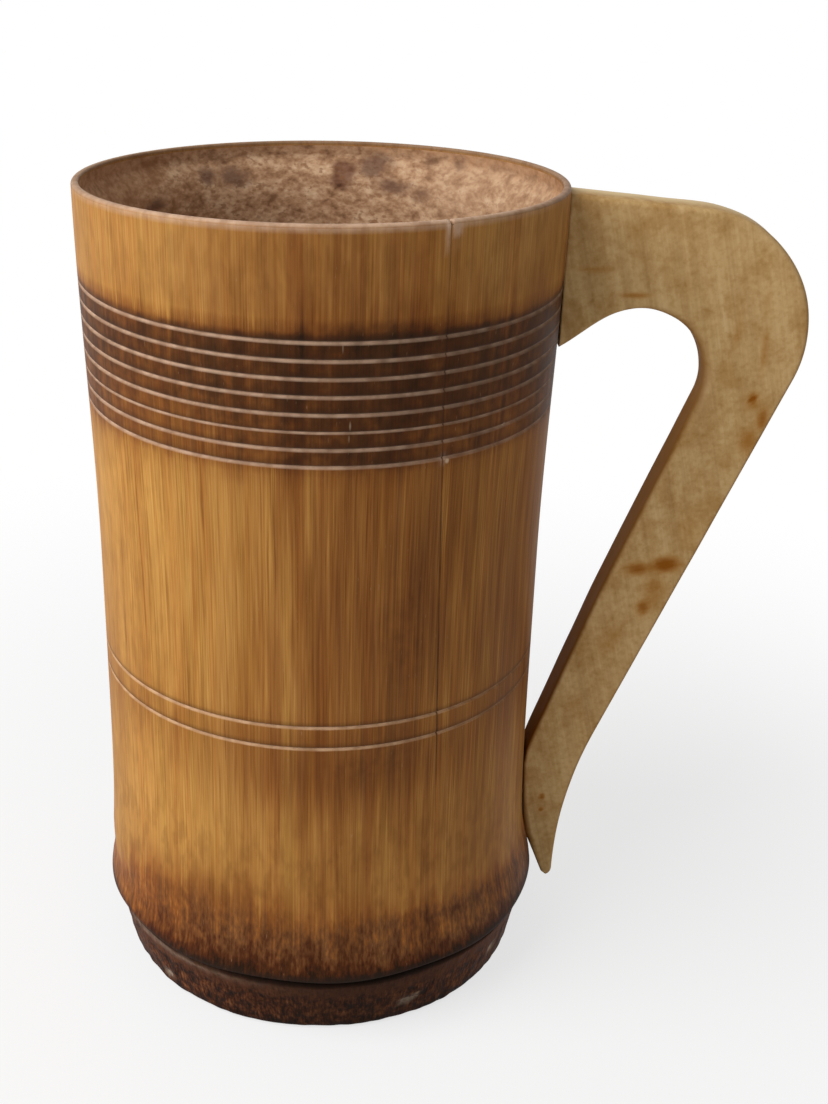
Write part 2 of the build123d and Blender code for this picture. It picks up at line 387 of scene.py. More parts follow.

# Bare wood and painted light, from 0 to 1: bare where the skin is cut or worn, in the lines, at the lip,
# along the crack's top and at the foot's chips; painted highlights just below the rim at the front and along
# the top of the foot's smooth band; and the lines painted dimmer towards the right as painted shade
worn_azimuth = -100.0
worn_reach = 62.0
cut_share = np.zeros(len(profile))
cut_share[on_skin.ravel()] = by_line(outside_heights, [0.0, 0.40, 1.0, 0.9, 0.10, 0.0, 0.0])[0]
facing_front = np.exp(-((np.degrees(past(worn_azimuth, turn)) / worn_reach) ** 4))
lip_worn = on_lip * ramp(height - lean, rim_height - 0.0007, rim_height - 0.0002)
lip_worn = lip_worn * (0.65 + 0.35 * facing_front)
# Painted highlight: a pale band on the skin just below the rim, on the front
lip_painted_highlight = facing_front * ramp(height - lean * near_rim, 0.1505, 0.1514) * on_skin
splinter_left = bell(across_crack + 0.0005, 0.0005) * ramp(height, 0.1490, 0.1520)
splinter_right = bell(across_crack - 0.0010, 0.0009) * bell(height - rim_height, 0.0009)
splinters = np.maximum(splinter_left, splinter_right) * skin_side
split_line = bell(across_crack, 0.0005) * bell(height - line_heights[band_count - 1], 0.0006) * skin_side
# Painted shade: the pale in the lines is dimmed towards the right, where their grooves turn from the light,
# and it varies at random along them
line_shade_and_wear = np.interp(azimuth_here, [-180, -88, -70, -58, -30, 40, 180],
                       [1.0, 1.0, 0.80, 0.54, 0.48, 0.95, 1.0])
low_line_shade = np.interp(azimuth_here, [-180, -70, -55, -40, 0, 60, 180],
                      [1.0, 1.2, 1.1, 0.65, 0.70, 1.0, 1.0])
between_lines = 0.090
line_shade_and_wear = line_shade_and_wear * np.where(height < between_lines, low_line_shade, 1.0)
line_shade_and_wear = line_shade_and_wear * np.clip(1.0 + 0.16 * ripple(turn, height, 16, (20, 90), 0.004), 0.6, 1.3)
foot_painted_highlight = bell(height - 0.0112, 0.0007) * bell(azimuth_here + 142.0, 28.0) * on_foot
crack_seen = crack * skin_side * (height > crack_foot)
bare_and_painted_light = np.clip(cut_share[:, None] * line_shade_and_wear + 0.9 * lip_worn + 0.6 * lip_painted_highlight, 0.0, 1.0)
bare_and_painted_light = np.clip(bare_and_painted_light + 0.7 * splinters + 0.8 * split_line + 0.9 * chipped, 0.0, 1.0)
bare_and_painted_light = np.clip(bare_and_painted_light + 0.35 * foot_painted_highlight, 0.0, 1.0) * (1.0 - crack_seen)

# Grime and painted shade, from 0 to 1: grime in the crack, painted shade over each line and in the scar's
# groove, and darkening on the lip's back and on the foot's front
line_shade_share = np.zeros(len(profile))
line_shade_share[on_skin.ravel()] = by_line(outside_heights, [0.0, 0.0, 0.0, 0.1, 0.8, 0.6, 0.0])[0]
crack_dark = np.interp(height, [crack_foot, 0.060, 0.112, 0.118, 0.136, 0.1435, 0.1455, 0.1500, 0.1525],
                       [0.5, 0.78, 0.75, 0.45, 0.25, 0.12, 0.60, 0.60, 0.10])
crack_dark = np.clip(crack_dark + 0.30 * ripple(turn * 0.0, height, 15, (1, 2), 0.012), 0.1, 1.0)
scar_shade = bell(height - scar_height, 0.0012) * on_foot
lip_dull = 0.35 * on_lip * (1.0 - facing_front)
foot_front_darkening = 0.55 * on_foot * bell(azimuth_here + 82.0, 34.0)
grime_and_shade = line_shade_share[:, None] * 0.65 + crack_seen * crack_dark
grime_and_shade = np.clip(grime_and_shade + scar_shade * 0.66 + lip_dull + foot_front_darkening, 0.0, 1.0)

# Dark blots inside, near the rim at the back, by azimuth, height, reach round and reach up
inside_blots = (
    (116.5, 0.1446, 0.0050, 0.0024),
    (124.5, 0.1451, 0.0026, 0.0019),
    (75.5, 0.1464, 0.0048, 0.0028),
    (69.0, 0.1430, 0.0052, 0.0020),
    (59.8, 0.1421, 0.0026, 0.0018),
    (146.0, 0.1417, 0.0046, 0.0014),
)
blotted = np.zeros_like(height)
for azimuth, up, reach_round, reach_up in inside_blots:
    beside = past(azimuth, turn) * radius
    blotted = np.maximum(blotted, bell(beside, reach_round) * bell(height - up, reach_up) * on_inside)


def add_node(kind, inputs, **settings):
    """A node with its settings, in the tree of the nodes that feed it. Gives its outputs.

    Each input is linked to another node's output or set to a plain value, and at least one is linked.
    """
    tree = next(value.id_data for value in inputs.values() if isinstance(value, bpy.types.NodeSocket))
    node = tree.nodes.new(kind)
    for name, value in settings.items():
        setattr(node, name, value)
    for place, value in inputs.items():
        if isinstance(value, bpy.types.NodeSocket):
            tree.links.new(value, node.inputs[place])
        elif node.inputs[place].type == "RGBA":
            node.inputs[place].default_value = (*value, 1.0)
        else:
            node.inputs[place].default_value = value
    return node.outputs


def sums(operation, *values):
    """One step of arithmetic in a material."""
    return add_node("ShaderNodeMath", dict(enumerate(values)), operation=operation)[0]


def times(amount, share):
    """One amount multiplied by another."""
    return sums("MULTIPLY", amount, share)


def scaled(amount, rate, start):
    """An amount multiplied by a rate and added to a start."""
    return sums("MULTIPLY_ADD", amount, rate, start)


def stretched(place, scale, shift=(0.0, 0.0, 0.0)):
    """A point multiplied by a scale along each axis and then shifted."""
    inputs = {0: place, 1: scale, 2: shift}
    return add_node("ShaderNodeVectorMath", inputs, operation="MULTIPLY_ADD")[0]


def coordinates(place):
    """A point's three coordinates, by their letters."""
    return add_node("ShaderNodeSeparateXYZ", {0: place})


def distance(place):
    """How far a point lies from the middle: the root of the sum of its squared coordinates."""
    return add_node("ShaderNodeVectorMath", {0: place}, operation="LENGTH")["Value"]


def cloud(place, scale=1.0, detail=2.0, roughness=0.5):
    """Soft noise from 0 to 1 at a place."""
    inputs = {"Vector": place, "Scale": scale, "Detail": detail, "Roughness": roughness}
    return add_node("ShaderNodeTexNoise", inputs)["Fac"]


def ease(amount, low, high):
    """A smooth step from 0 where an amount is low to 1 where it is high."""
    inputs = {"Value": amount, "From Min": low, "From Max": high}
    return add_node("ShaderNodeMapRange", inputs, interpolation_type="SMOOTHSTEP")["Result"]


def tint(share, under, over, how="MIX"):
    """One colour laid over another by a share."""
    inputs = {0: share, 6: under, 7: over}
    return add_node("ShaderNodeMix", inputs, data_type="RGBA", blend_type=how)[2]


def shades(amount, *stops):
    """A colour read off a scale of colours, each at its place from 0 to 1."""
    colour = add_node("ShaderNodeValToRGB", {"Fac": amount})["Color"]
    scale = colour.node.color_ramp.elements
    for _ in stops[2:]:
        scale.new(0.5)
    for mark, (place, shade) in zip(scale, stops):
        mark.position = place
    for mark, (place, shade) in zip(scale, stops):
        mark.color = (*shade, 1.0)
    return colour


def painted(material, name):
    """A value kept on the points of the piece that has a material."""
    node = material.node_tree.nodes.new("ShaderNodeAttribute")
    node.attribute_name = name
    return node.outputs["Fac"]


def new_material(name):
    """A new node material, its shader and the piece's own coordinates."""
    material = bpy.data.materials.new(name)
    material.use_nodes = True
    nodes = material.node_tree.nodes
    return material, nodes["Principled BSDF"], nodes.new("ShaderNodeTexCoord").outputs["Object"]


def dressed(shader, colour, roughness, height, depth, strength):
    """Gives a shader its colour, its roughness, and fine relief from a height, in metres at full strength."""
    bump = add_node("ShaderNodeBump", {"Height": height, "Distance": depth, "Strength": strength})
    for name, value in (("Base Color", colour), ("Roughness", roughness), ("Normal", bump["Normal"])):
        shader.id_data.links.new(value, shader.inputs[name])


# Long grain, shared by the bamboo and the wood: fine fibres, and wider streaks of several fibres together
long_grain = bpy.data.node_groups.new("long_grain", "ShaderNodeTree")
long_grain.interface.new_socket("Place", in_out="INPUT", socket_type="NodeSocketVector")
for name in ("Fibre width", "Fibre length"):
    long_grain.interface.new_socket(name, in_out="INPUT", socket_type="NodeSocketFloat")
for name in ("Fibre", "Streak"):
    long_grain.interface.new_socket(name, in_out="OUTPUT", socket_type="NodeSocketFloat")
grain_in = long_grain.nodes.new("NodeGroupInput").outputs
grain_out = long_grain.nodes.new("NodeGroupOutput").inputs
grain_across = sums("DIVIDE", 1.0, grain_in["Fibre width"])
grain_along = sums("DIVIDE", 1.0, grain_in["Fibre length"])
grain_rates = {"X": grain_across, "Y": grain_across, "Z": grain_along}
grain_scale = add_node("ShaderNodeCombineXYZ", grain_rates)[0]
fibre_place = stretched(grain_in["Place"], grain_scale)
streak_place = stretched(fibre_place, (0.24, 0.24, 0.32), (31.7, 12.3, 5.1))
for name, grain_place in (("Fibre", fibre_place), ("Streak", streak_place)):
    long_grain.links.new(cloud(grain_place, roughness=0.55), grain_out[name])


def grain(place, width, length):
    """The long grain at a place, for fibres of a width and a length in metres: fibre and streak."""
    inputs = {"Place": place, "Fibre width": width, "Fibre length": length}
    grown = add_node("ShaderNodeGroup", inputs, node_tree=long_grain)
    return grown["Fibre"], grown["Streak"]


# Skin: golden bamboo with fine upright fibres, browned to black by the flame in tongues that follow them.
# Near the node the scorch breaks up into short dashes, and pale flecks show where the skin is scratched.
skin, shader, own = new_material("scorched_bamboo")
axes = coordinates(own)
level_place = stretched(own, (1.0, 1.0, 0.0))
outward = add_node("ShaderNodeVectorMath", {0: level_place}, operation="NORMALIZE")[0]
upward = add_node("ShaderNodeCombineXYZ", {"Z": axes["Z"]})[0]
upright = stretched(outward, (waist_radius, waist_radius, 0.0), upward)
fibre, streak = grain(upright, width=0.00028, length=0.016)
coarse, broad = grain(upright, width=0.00052, length=0.034)
dash = grain(upright, width=0.00056, length=0.0018)[0]
fleck = grain(upright, width=0.00030, length=0.0022)[0]
fibre_mix = sums("ADD", times(fibre, 0.45), times(coarse, 0.35))
fibre_mix = sums("ADD", fibre_mix, times(streak, 0.20))
handled_top = ease(axes["Z"], 0.1365, 0.1430)
# The scorch level, which also holds the painted shade on the front and right side
scorch_and_shade_level = painted(skin, "scorch_and_shade")
mellow = ease(axes["Z"], 0.054, 0.038)
mellow = sums("MAXIMUM", mellow, times(handled_top, 0.7))
left_face = ease(axes["X"], -0.014, -0.034)
mellow = sums("MAXIMUM", mellow, times(left_face, 0.6))
smoothed = scaled(handled_top, -0.10, 1.0)
smoothed = scaled(mellow, -0.35, smoothed)
smoothed = scaled(ease(scorch_and_shade_level, 0.35, 0.60), -0.35, smoothed)
fibre_mix = scaled(sums("SUBTRACT", fibre_mix, 0.5), smoothed, 0.5)
golden = shades(fibre_mix, (0.37, (0.29, 0.122, 0.026)), (0.46, (0.45, 0.212, 0.048)),
                (0.54, (0.54, 0.275, 0.068)), (0.64, (0.64, 0.355, 0.100)))
cloudy = cloud(stretched(own, (170.0, 170.0, 24.0)), detail=3.0, roughness=0.55)
golden = tint(ease(cloudy, 0.38, 0.72), golden, (0.82, 0.74, 0.64), "MULTIPLY")
downy = cloud(stretched(own, (560.0, 560.0, 210.0)))
downy = times(ease(downy, 0.40, 0.66), mellow)
golden = tint(downy, golden, (0.80, 0.77, 0.74), "MULTIPLY")
# Painted light: the left face, turned to the lamp, is made lighter
golden = tint(left_face, golden, (1.10, 1.10, 1.05), "MULTIPLY")
golden = tint(ease(broad, 0.50, 0.68), golden, (0.96, 0.89, 0.84), "MULTIPLY")
golden = tint(ease(broad, 0.48, 0.32), golden, (0.95, 0.97, 0.93), "MULTIPLY")
near_node = ease(axes["Z"], 0.036, 0.020)
tongue = sums("ADD", streak, coarse)
tongue = scaled(tongue, 0.60, -0.60)
tongue_growth = scaled(ease(scorch_and_shade_level, 0.05, 0.35), 0.65, 0.35)
tongue_loss = scaled(ease(scorch_and_shade_level, 0.40, 0.60), -0.50, 1.0)
tongue = times(times(tongue, tongue_growth), tongue_loss)
dashes = times(scaled(dash, 0.8, -0.40), near_node)
dashes = times(dashes, ease(scorch_and_shade_level, 0.10, 0.50))
smudge = cloud(stretched(own, (420.0, 420.0, 40.0)))
smudge = scaled(smudge, 0.4, -0.2)
smudge = times(smudge, ease(scorch_and_shade_level, 0.02, 0.25))
sooty = cloud(stretched(own, (520.0, 520.0, 380.0)))
sooty = scaled(sooty, 0.5, -0.25)
sooty = times(sooty, ease(scorch_and_shade_level, 0.35, 0.55))
burn = sums("ADD", sums("ADD", scorch_and_shade_level, tongue), sums("ADD", dashes, smudge))
burn = sums("ADD", burn, sooty)
toasted = shades(burn, (0.04, (1.0, 1.0, 1.0)), (0.25, (0.60, 0.49, 0.45)),
                 (0.48, (0.36, 0.255, 0.24)), (0.70, (0.16, 0.110, 0.12)), (0.98, (0.045, 0.038, 0.045)))
reddened = shades(burn, (0.04, (1.0, 1.0, 1.0)), (0.25, (0.67, 0.500, 0.47)),
                  (0.48, (0.345, 0.276, 0.38)), (0.70, (0.185, 0.104, 0.096)), (0.98, (0.042, 0.031, 0.030)))
left_burn = times(left_face, ease(burn, 0.08, 0.45))
reddened = tint(left_burn, reddened, (1.0, 0.83, 0.50), "MULTIPLY")
browned = tint(near_node, toasted, reddened)
colour = tint(1.0, golden, browned, "MULTIPLY")
colour = tint(handled_top, colour, (0.89, 0.875, 0.95), "MULTIPLY")
scratched = times(ease(fleck, 0.70, 0.80), 0.45)
colour = tint(scratched, colour, (0.42, 0.25, 0.14))

# Scratches by azimuth, height, half width, half length and strength
skin_scratches = (
    (-85.7, 0.1347, 0.00016, 0.0011, 0.8),
    (-83.9, 0.1220, 0.00018, 0.0009, 0.7),
    (-84.1, 0.1199, 0.00016, 0.0008, 0.6),
    (-97.4, 0.1264, 0.00018, 0.0008, 0.8),
    (-60.8, 0.1146, 0.00034, 0.0004, 0.9),
    (-44.0, 0.1183, 0.00030, 0.0003, 0.9),
    (-90.5, 0.0930, 0.00014, 0.0015, 0.5),
    (-104.0, 0.0880, 0.00014, 0.0012, 0.5),
    (-118.0, 0.1060, 0.00014, 0.0014, 0.5),
)
for azimuth, up, half_width, half_length, level in skin_scratches:
    out = float(culm_radius(up))
    middle = (out * math.cos(math.radians(azimuth)), out * math.sin(math.radians(azimuth)), up)
    scale = (1.0 / half_width, 1.0 / half_width, 1.0 / half_length)
    shift = tuple(-place * rate for place, rate in zip(middle, scale))
    away = distance(stretched(own, scale, shift))
    shown = times(ease(away, 1.6, 0.4), level)
    colour = tint(shown, colour, (0.56, 0.40, 0.26))
worn_line = cloud(own, scale=420.0, detail=3.0, roughness=0.6)
pale = tint(ease(worn_line, 0.35, 0.65), (0.44, 0.275, 0.180), (0.62, 0.415, 0.285))
pale = tint(ease(axes["Z"], between_lines, 0.075), pale, (1.14, 1.09, 0.95), "MULTIPLY")
# Pale bare wood, with the painted highlight below the rim and the lines painted dimmer towards the right
colour = tint(painted(skin, "bare_and_painted_light"), colour, pale)
# Grime in the crack, painted shade above each line, and darkening on the lip's back
colour = tint(painted(skin, "grime_and_shade"), colour, (0.020, 0.010, 0.006))
roughness = scaled(fibre, 0.25, 0.40)
shader.inputs["Specular IOR Level"].default_value = 0.08
dressed(shader, colour, roughness, fibre_mix, depth=0.00012, strength=0.4)

# Foot: the stub below the scar and the sawn underside, dark with smoke, smooth at its top and rough below,
# and darker still towards its bottom edge. Pale wood shows where it is chipped. Painted shade darkens its top
# in the groove under the scar, and a painted highlight runs along the top of the smooth band at the front
# left.
foot, shader, own = new_material("smoked_foot")
dash = grain(own, width=0.0005, length=0.0022)[0]
speck = cloud(own, scale=520.0, detail=4.0, roughness=0.65)
smoke = sums("ADD", times(speck, 0.55), times(dash, 0.45))
rough_part = shades(smoke, (0.38, (0.012, 0.005, 0.003)), (0.48, (0.050, 0.0145, 0.0055)),
                    (0.58, (0.130, 0.042, 0.0150)), (0.70, (0.27, 0.110, 0.046)))
smooth_part = shades(smoke, (0.36, (0.054, 0.0175, 0.007)), (0.64, (0.128, 0.045, 0.019)))
up_foot = scaled(speck, 0.003, coordinates(own)["Z"])
colour = tint(ease(up_foot, 0.0088, 0.0116), rough_part, smooth_part)
# Painted shade: darker at the top, in the groove under the scar
colour = tint(ease(up_foot, 0.0126, 0.0139), colour, (0.45, 0.42, 0.42), "MULTIPLY")
colour = tint(ease(up_foot, 0.0048, 0.0016), colour, (0.25, 0.23, 0.23), "MULTIPLY")
pale = tint(ease(speck, 0.22, 0.72), (0.30, 0.21, 0.14), (0.68, 0.54, 0.41))
flake = ease(cloud(own, scale=800.0, detail=3.0, roughness=0.6), 0.30, 0.62)
# Pale wood at the chips, and the painted highlight along the top of the smooth band
chips_and_highlight = times(painted(foot, "bare_and_painted_light"), scaled(flake, 0.65, 0.35))
colour = tint(chips_and_highlight, colour, pale)
# Painted shade in the scar's groove, and darkening on the front of the foot
colour = tint(painted(foot, "grime_and_shade"), colour, (0.010, 0.006, 0.004))
roughness = scaled(speck, 0.3, 0.45)
shader.inputs["Specular IOR Level"].default_value = 0.04
dressed(shader, colour, roughness, smoke, depth=0.0004, strength=0.6)

# Inside: the papery inner wall, scraped in patches, so cream and brown specks mix, with old drink stains.
# A strip below the lip was scraped clean and is plain brown.
lining, shader, own = new_material("scraped_inside")
scraped = stretched(own, (1.0, 1.0, 1.5))
speck = cloud(scraped, scale=800.0, roughness=0.55)
blotch = cloud(scraped, scale=270.0, detail=3.0, roughness=0.6)
stain = cloud(own, scale=110.0)
mottle = sums("ADD", times(speck, 0.38), times(blotch, 0.62))
colour = shades(mottle, (0.35, (0.22, 0.110, 0.055)), (0.46, (0.40, 0.225, 0.122)),
                (0.54, (0.53, 0.330, 0.195)), (0.66, (0.68, 0.475, 0.300)))
colour = tint(ease(stain, 0.58, 0.70), colour, (0.38, 0.29, 0.28), "MULTIPLY")
dot = cloud(scraped, scale=750.0, roughness=0.55)
dotted = times(ease(dot, 0.50, 0.66), ease(blotch, 0.35, 0.60))
colour = tint(times(dotted, 0.65), colour, (0.22, 0.095, 0.040))
plain = tint(ease(mottle, 0.35, 0.65), (0.34, 0.165, 0.076), (0.52, 0.29, 0.155))
axes = coordinates(own)
strip = ease(scaled(blotch, 0.010, axes["Z"]), 0.1525, 0.1565)
# The left inner wall is plain smooth brown, and is also lightened where it lies in shade: painted light
plain_and_lightened_left = ease(scaled(blotch, 0.012, axes["X"]), -0.016, -0.030)
right_side = ease(scaled(blotch, 0.010, axes["X"]), 0.018, 0.032)
sandy = tint(ease(blotch, 0.35, 0.65), (0.40, 0.235, 0.135), (0.57, 0.365, 0.225))
colour = tint(times(right_side, 0.4), colour, sandy)
colour = tint(sums("MAXIMUM", strip, times(plain_and_lightened_left, 0.8)), colour, plain)
blot = times(painted(lining, "blot"), times(blotch, 2.0))
colour = tint(times(ease(blot, 0.32, 1.0), 0.80), colour, (0.12, 0.054, 0.034))
colour = tint(painted(lining, "bare_and_painted_light"), colour, (0.46, 0.30, 0.18))
roughness = scaled(speck, 0.25, 0.6)
shader.inputs["Specular IOR Level"].default_value = 0.10
dressed(shader, colour, roughness, mottle, depth=0.00025, strength=0.35)

culm = closed_surface(
    "bamboo_culm", culm_grid, (foot_shift, 0.0, recess_depth), (0.0, 0.0, floor_height), (skin, foot, lining)
)
skin_index, foot_index, lining_index = range(3)
row_material = np.where(on_inside, lining_index, skin_index)
row_material[on_underside | on_foot & (profile[:, 1:] <= scar_height + scar_edge)] = foot_index
face_material = np.repeat(np.append(row_material[:-1], [foot_index, lining_index]), len(columns))
culm.data.polygons.foreach_set("material_index", face_material.astype(np.int32))
paint(culm, "scorch_and_shade", scorch_and_shade)
paint(culm, "bare_and_painted_light", bare_and_painted_light)
paint(culm, "grime_and_shade", grime_and_shade)
paint(culm, "blot", blotted)
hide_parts("culm_body")
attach(culm, "root")

# Dowels: three plain round pins of split wood, two in the upper joint and one in the lower.
# They are glued into blind holes in the culm and the board, so none of them shows.


def tilted(place, degrees):
    """A point turned about the axis that runs from front to back."""
    rotation = (0.0, math.radians(degrees), 0.0)
    return add_node("ShaderNodeMapping", {"Vector": place, "Rotation": rotation})[0]


dowel_wood, shader, own = new_material("dowel_wood")
fibre, streak = grain(tilted(own, 90), width=0.0004, length=0.012)
colour = shades(fibre, (0.35, (0.36, 0.20, 0.085)), (0.65, (0.58, 0.38, 0.19)))
roughness = scaled(streak, 0.2, 0.55)
dressed(shader, colour, roughness, fibre, depth=0.0001, strength=0.4)
for name in ("upper_dowel_high", "upper_dowel_low", "lower_dowel"):
    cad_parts[name].data.materials.clear()
    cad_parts[name].data.materials.append(dowel_wood)

# Glue: two thin films of brown wood glue between the culm and the board's coped ends.
# The glue set while the board was pressed to the culm, and dirt has darkened its edges.
glue, shader, own = new_material("joint_glue")
cured = cloud(own, scale=1500.0, detail=3.0, roughness=0.6)
colour = shades(cured, (0.35, (0.012, 0.007, 0.005)), (0.65, (0.060, 0.030, 0.014)))
roughness = scaled(cured, 0.3, 0.4)
dressed(shader, colour, roughness, cured, depth=0.0001, strength=0.5)
for name in ("upper_glue_bed", "lower_glue_bed"):
    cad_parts[name].data.materials.clear()
    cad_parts[name].data.materials.append(glue)

# Handle: a hook sawn from one flat board of pale wood, its edges eased by hand, its ends coped to the culm.
# It is fixed by glue and hidden pins at the neck and again above the tail.
board_half = 0.0035
film = 0.0003
top_at_culm = 0.1506
top_slope = 5.2
shoulder = (0.0642, 0.1260)
shoulder_radius = 0.0225
arm_lean = 22.25
tail = (0.1363, 0.0104)
tail_radius = 0.088
tip = (0.0471, 0.0104)
tip_round = 0.0012
heel_height = 0.0193
seat_top = 0.0362
arch = (0.0561, 0.1179)
arch_radius = 0.0126
grip_lean = 19.8
grip_belly = 0.0006
grip_tuck = 0.00105
grip_fillet = 0.0008
brow = 30.0
brow_drop = 0.0010
saw_waver = 0.00003
outer_edge_round = 0.0009
neck_inset = 0.04


def arc_point(centre, radius, angle):
    """The point of an arc at an angle in degrees."""
    return bend(centre, radius, angle, angle, 1)[0]


def spaced(line, steps):
    """Points at even distances along a line."""
    lengths = np.append(0.0, np.cumsum(np.hypot(*np.diff(line, axis=0).T)))
    wanted = np.linspace(0.0, lengths[-1], steps)
    return np.stack([np.interp(wanted, lengths, line[:, 0]), np.interp(wanted, lengths, line[:, 1])], axis=1)


# Both edges in matching stretches: neck, hook, arm, lower joint, tail and tip, with as many stations in each
neck_steps = 40
hook_steps = 60
arm_steps = 90
joint_steps = 24
tail_steps = 16
tip_steps = 14
seat_heights = np.linspace(seat_top, heel_height, 12)
seat_line = np.stack([culm_radius(seat_heights) + film, seat_heights], axis=1)
crown = arc_point(shoulder, shoulder_radius, 90 - top_slope)
arm_top = arc_point(shoulder, shoulder_radius, -arm_lean)
tail_sweep = bend(tail, tail_radius, 180 - arm_lean, 180, 24)
brow_start = arc_point(arch, arch_radius, 90 + brow)
brow_fall = math.tan(math.radians(brow)) * (brow_start[0] - rim_radius)
brow_line = spaced(np.array([(rim_radius, brow_start[1] - brow_fall), brow_start]), neck_steps)
brow_line[:, 1] -= brow_drop * smooth(np.linspace(1.0, 0.0, neck_steps))
grip_top = arc_point(arch, arch_radius, -grip_lean)
grip_line = spaced(np.array([grip_top, seat_line[0] - (grip_tuck, 0.0)]), arm_steps)
grip_line[:, 0] -= grip_belly * np.sin(np.linspace(0.0, math.pi, arm_steps)) ** 2
grip_bed = culm_radius(grip_line[:, 1]) + film
grip_gap = grip_line[:, 0] - grip_bed
grip_line[:, 0] = grip_bed + 0.5 * (grip_gap + np.hypot(grip_gap, grip_fillet))
arm_line = along(np.array([arm_top]), tail_sweep)
split_high = np.interp(seat_top, arm_line[::-1, 1], arm_line[::-1, 0])
split_low = np.interp(heel_height, arm_line[::-1, 1], arm_line[::-1, 0])
arm_upper = along(arm_line[arm_line[:, 1] > seat_top], [(split_high, seat_top)])
arm_middle = along([(split_high, seat_top)],
                   arm_line[(arm_line[:, 1] < seat_top) & (arm_line[:, 1] > heel_height)],
                   [(split_low, heel_height)])
arm_lower = along([(split_low, heel_height)], arm_line[arm_line[:, 1] < heel_height])
tip_leave = math.degrees(math.atan2(heel_height - tip[1], seat_line[-1, 0] - tip[0]))
tip_leave = tip_leave + math.degrees(math.acos(tip_round / math.dist(tip, seat_line[-1])))
outer_edge = along(
    spaced(np.array([(rim_radius, top_at_culm), crown]), neck_steps)[:-1],
    bend(shoulder, shoulder_radius, 90 - top_slope, -arm_lean, hook_steps)[:-1],
    spaced(arm_upper, arm_steps)[:-1],
    spaced(arm_middle, joint_steps)[:-1],
    spaced(arm_lower, tail_steps)[:-1],
    bend(tip, tip_round, 0, -86, tip_steps),
)
inner_edge = along(
    brow_line[:-1],
    bend(arch, arch_radius, 90 + brow, -grip_lean, hook_steps)[:-1],
    grip_line[:-1],
    spaced(seat_line, joint_steps)[:-1],
    spaced(np.array([seat_line[-1], arc_point(tip, tip_round, tip_leave)]), tail_steps)[:-1],
    bend(tip, tip_round, tip_leave, 266, tip_steps),
)

# Section: behind from the inner edge to the outer one, round it and back across the front, each corner eased.
# Each point has a share of the width, a place in the thickness, and the pull of each easing, in and down.
corner = np.radians(np.linspace(0, 90, 6))
drawn_in = 1.0 - np.cos(corner)
drawn_down = 1.0 - np.sin(corner)
sharp = corner * 0.0
across_face = np.linspace(0.0, 1.0, 42)[1:-1]
level = across_face * 0.0
over_edge = np.linspace(1.0, -1.0, 8)[1:-1]
on_edge = over_edge * 0.0
side_share = along(sharp, across_face, sharp + 1.0)
side_in = along(drawn_in, 1.0 - across_face, sharp)
side_out = along(sharp, across_face, drawn_in[::-1])
side_down_in = along(drawn_down, level, sharp)
side_down_out = along(sharp, level, drawn_down[::-1])
section_share = along(side_share, on_edge + 1.0, side_share[::-1], on_edge)
section_in = along(side_in, on_edge, side_in[::-1], on_edge)
section_out = along(side_out, on_edge, side_out[::-1], on_edge)
section_lift = along(side_share * 0.0 + 1.0, over_edge, side_share * 0.0 - 1.0, -over_edge)
section_down_in = along(side_down_in, on_edge, -side_down_in[::-1], -over_edge)
section_down_out = along(side_down_out, over_edge, -side_down_out[::-1], on_edge)

# Hand sawing leaves both edges a little wavy, and the hand has worn the inner edge round below the arch
stations = np.arange(len(outer_edge))
way = stations / len(outer_edge)
outer_edge = outer_edge + saw_waver * ripple(way * math.tau, way, 31, (3, 16), 1.0)[:, None]
inner_edge = inner_edge + saw_waver * ripple(way * math.tau, way, 32, (3, 16), 1.0)[:, None]
board_width = np.hypot(*(outer_edge - inner_edge).T)[:, None]
most_round = 0.4 * board_width
inner_round = np.interp(stations, [0, 39, 70, 90, 112, 187, 200, 211, 220, 228],
                        [0.8, 0.9, 1.8, 2.0, 0.9, 0.6, 0.9, 1.7, 1.0, 0.6])
inner_round = np.minimum(0.001 * inner_round[:, None], most_round)
outer_round = np.minimum(outer_edge_round, most_round)
share = section_share + (section_in * inner_round - section_out * outer_round) / board_width
board_x = inner_edge[:, :1] + (outer_edge - inner_edge)[:, :1] * share
board_z = inner_edge[:, 1:] + (outer_edge - inner_edge)[:, 1:] * share
board_y = section_lift * board_half - section_down_in * inner_round - section_down_out * outer_round


def coped(x, y, z):
    """A point moved out along the board until it clears the culm and the glue film on it.

    Its x is at least the root of the seat's squared radius less its squared y.
    """
    seat = culm_radius(np.maximum(z, node_height)) + film
    return np.maximum(x, np.sqrt(seat ** 2 - y ** 2))


board_x = coped(board_x, board_y, board_z)
handle_grid = np.stack([board_x, board_y, board_z], axis=-1)
neck_middle = np.array([0.0, 0.0, handle_grid[0, :, 2].mean()])
neck_middle[0] = coped(0.0, 0.0, neck_middle[2])
neck_ring = handle_grid[0] + (neck_middle - handle_grid[0]) * neck_inset
neck_ring[:, 0] = coped(neck_ring[:, 0], neck_ring[:, 1], neck_ring[:, 2])
handle_grid = along(neck_ring[None], handle_grid)
tip_end = (tip[0], 0.0, tip[1] - tip_round)

